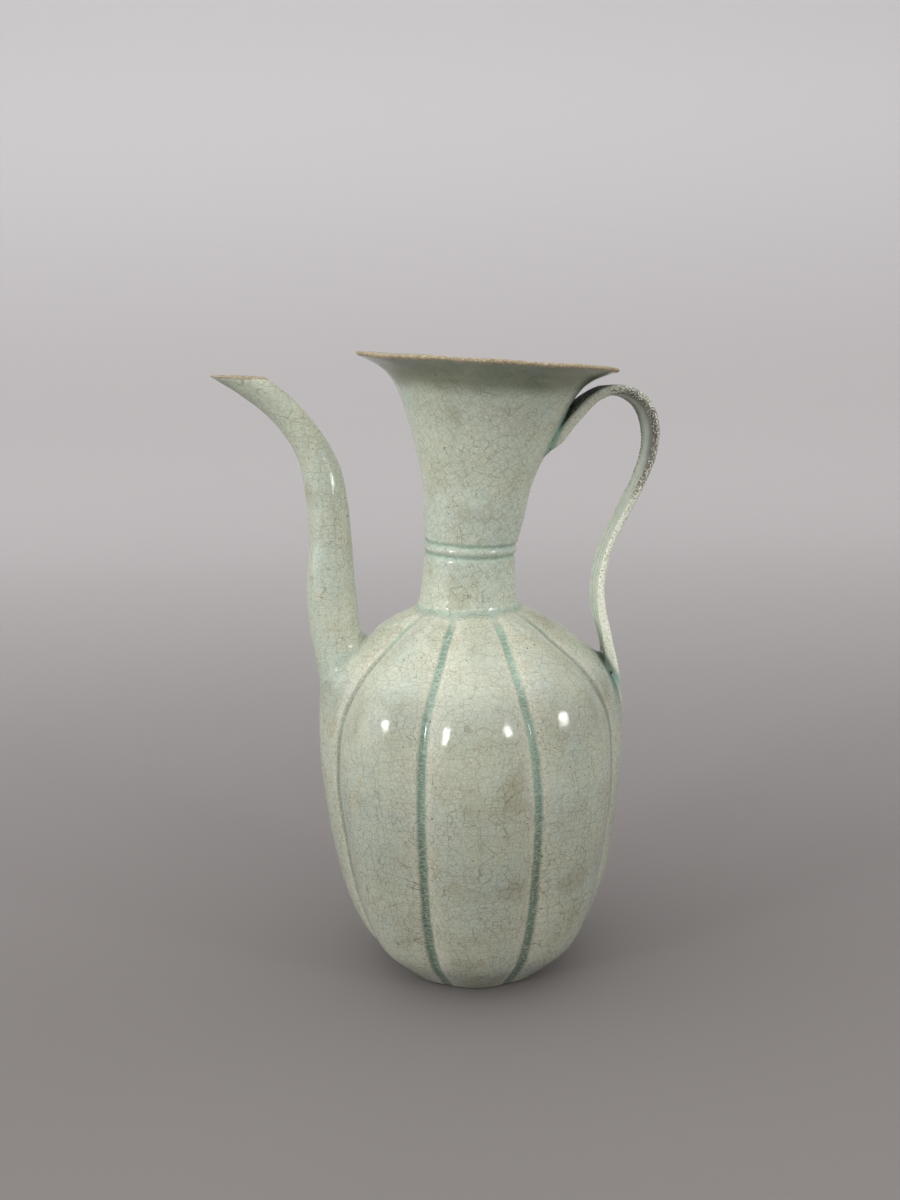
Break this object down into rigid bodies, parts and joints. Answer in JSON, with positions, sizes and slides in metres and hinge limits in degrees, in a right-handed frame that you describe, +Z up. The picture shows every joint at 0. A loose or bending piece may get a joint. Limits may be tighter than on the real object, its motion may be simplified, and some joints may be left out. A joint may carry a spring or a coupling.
{
  "type": "porcelain ewer",
  "caption": "Melon-lobed ewer with a tall trumpet neck, an S-curved spout and a strap handle, under a crackled pale green-grey glaze.",
  "frame": {"origin": "centre of the foot, in the plane the ewer stands on, on the body's own axis", "axes": "+Z up the body's axis, +X towards the handle, -X towards the spout, +Y the short way across"},
  "size_m": [0.1849, 0.1322, 0.2704],
  "materials": {
    "glaze": "glossy pale green-grey crackled glaze over porcelain",
    "joint_glaze": "the same glaze, pooled a little thicker over the luted joints"
  },
  "bodies": {
    "root": {"body": "glaze", "neck": "glaze", "spout": "glaze", "handle": "glaze", "neck_luting": "joint_glaze", "spout_luting": "joint_glaze", "handle_upper_luting": "joint_glaze", "handle_lower_luting": "joint_glaze"}
  },
  "joints": []
}
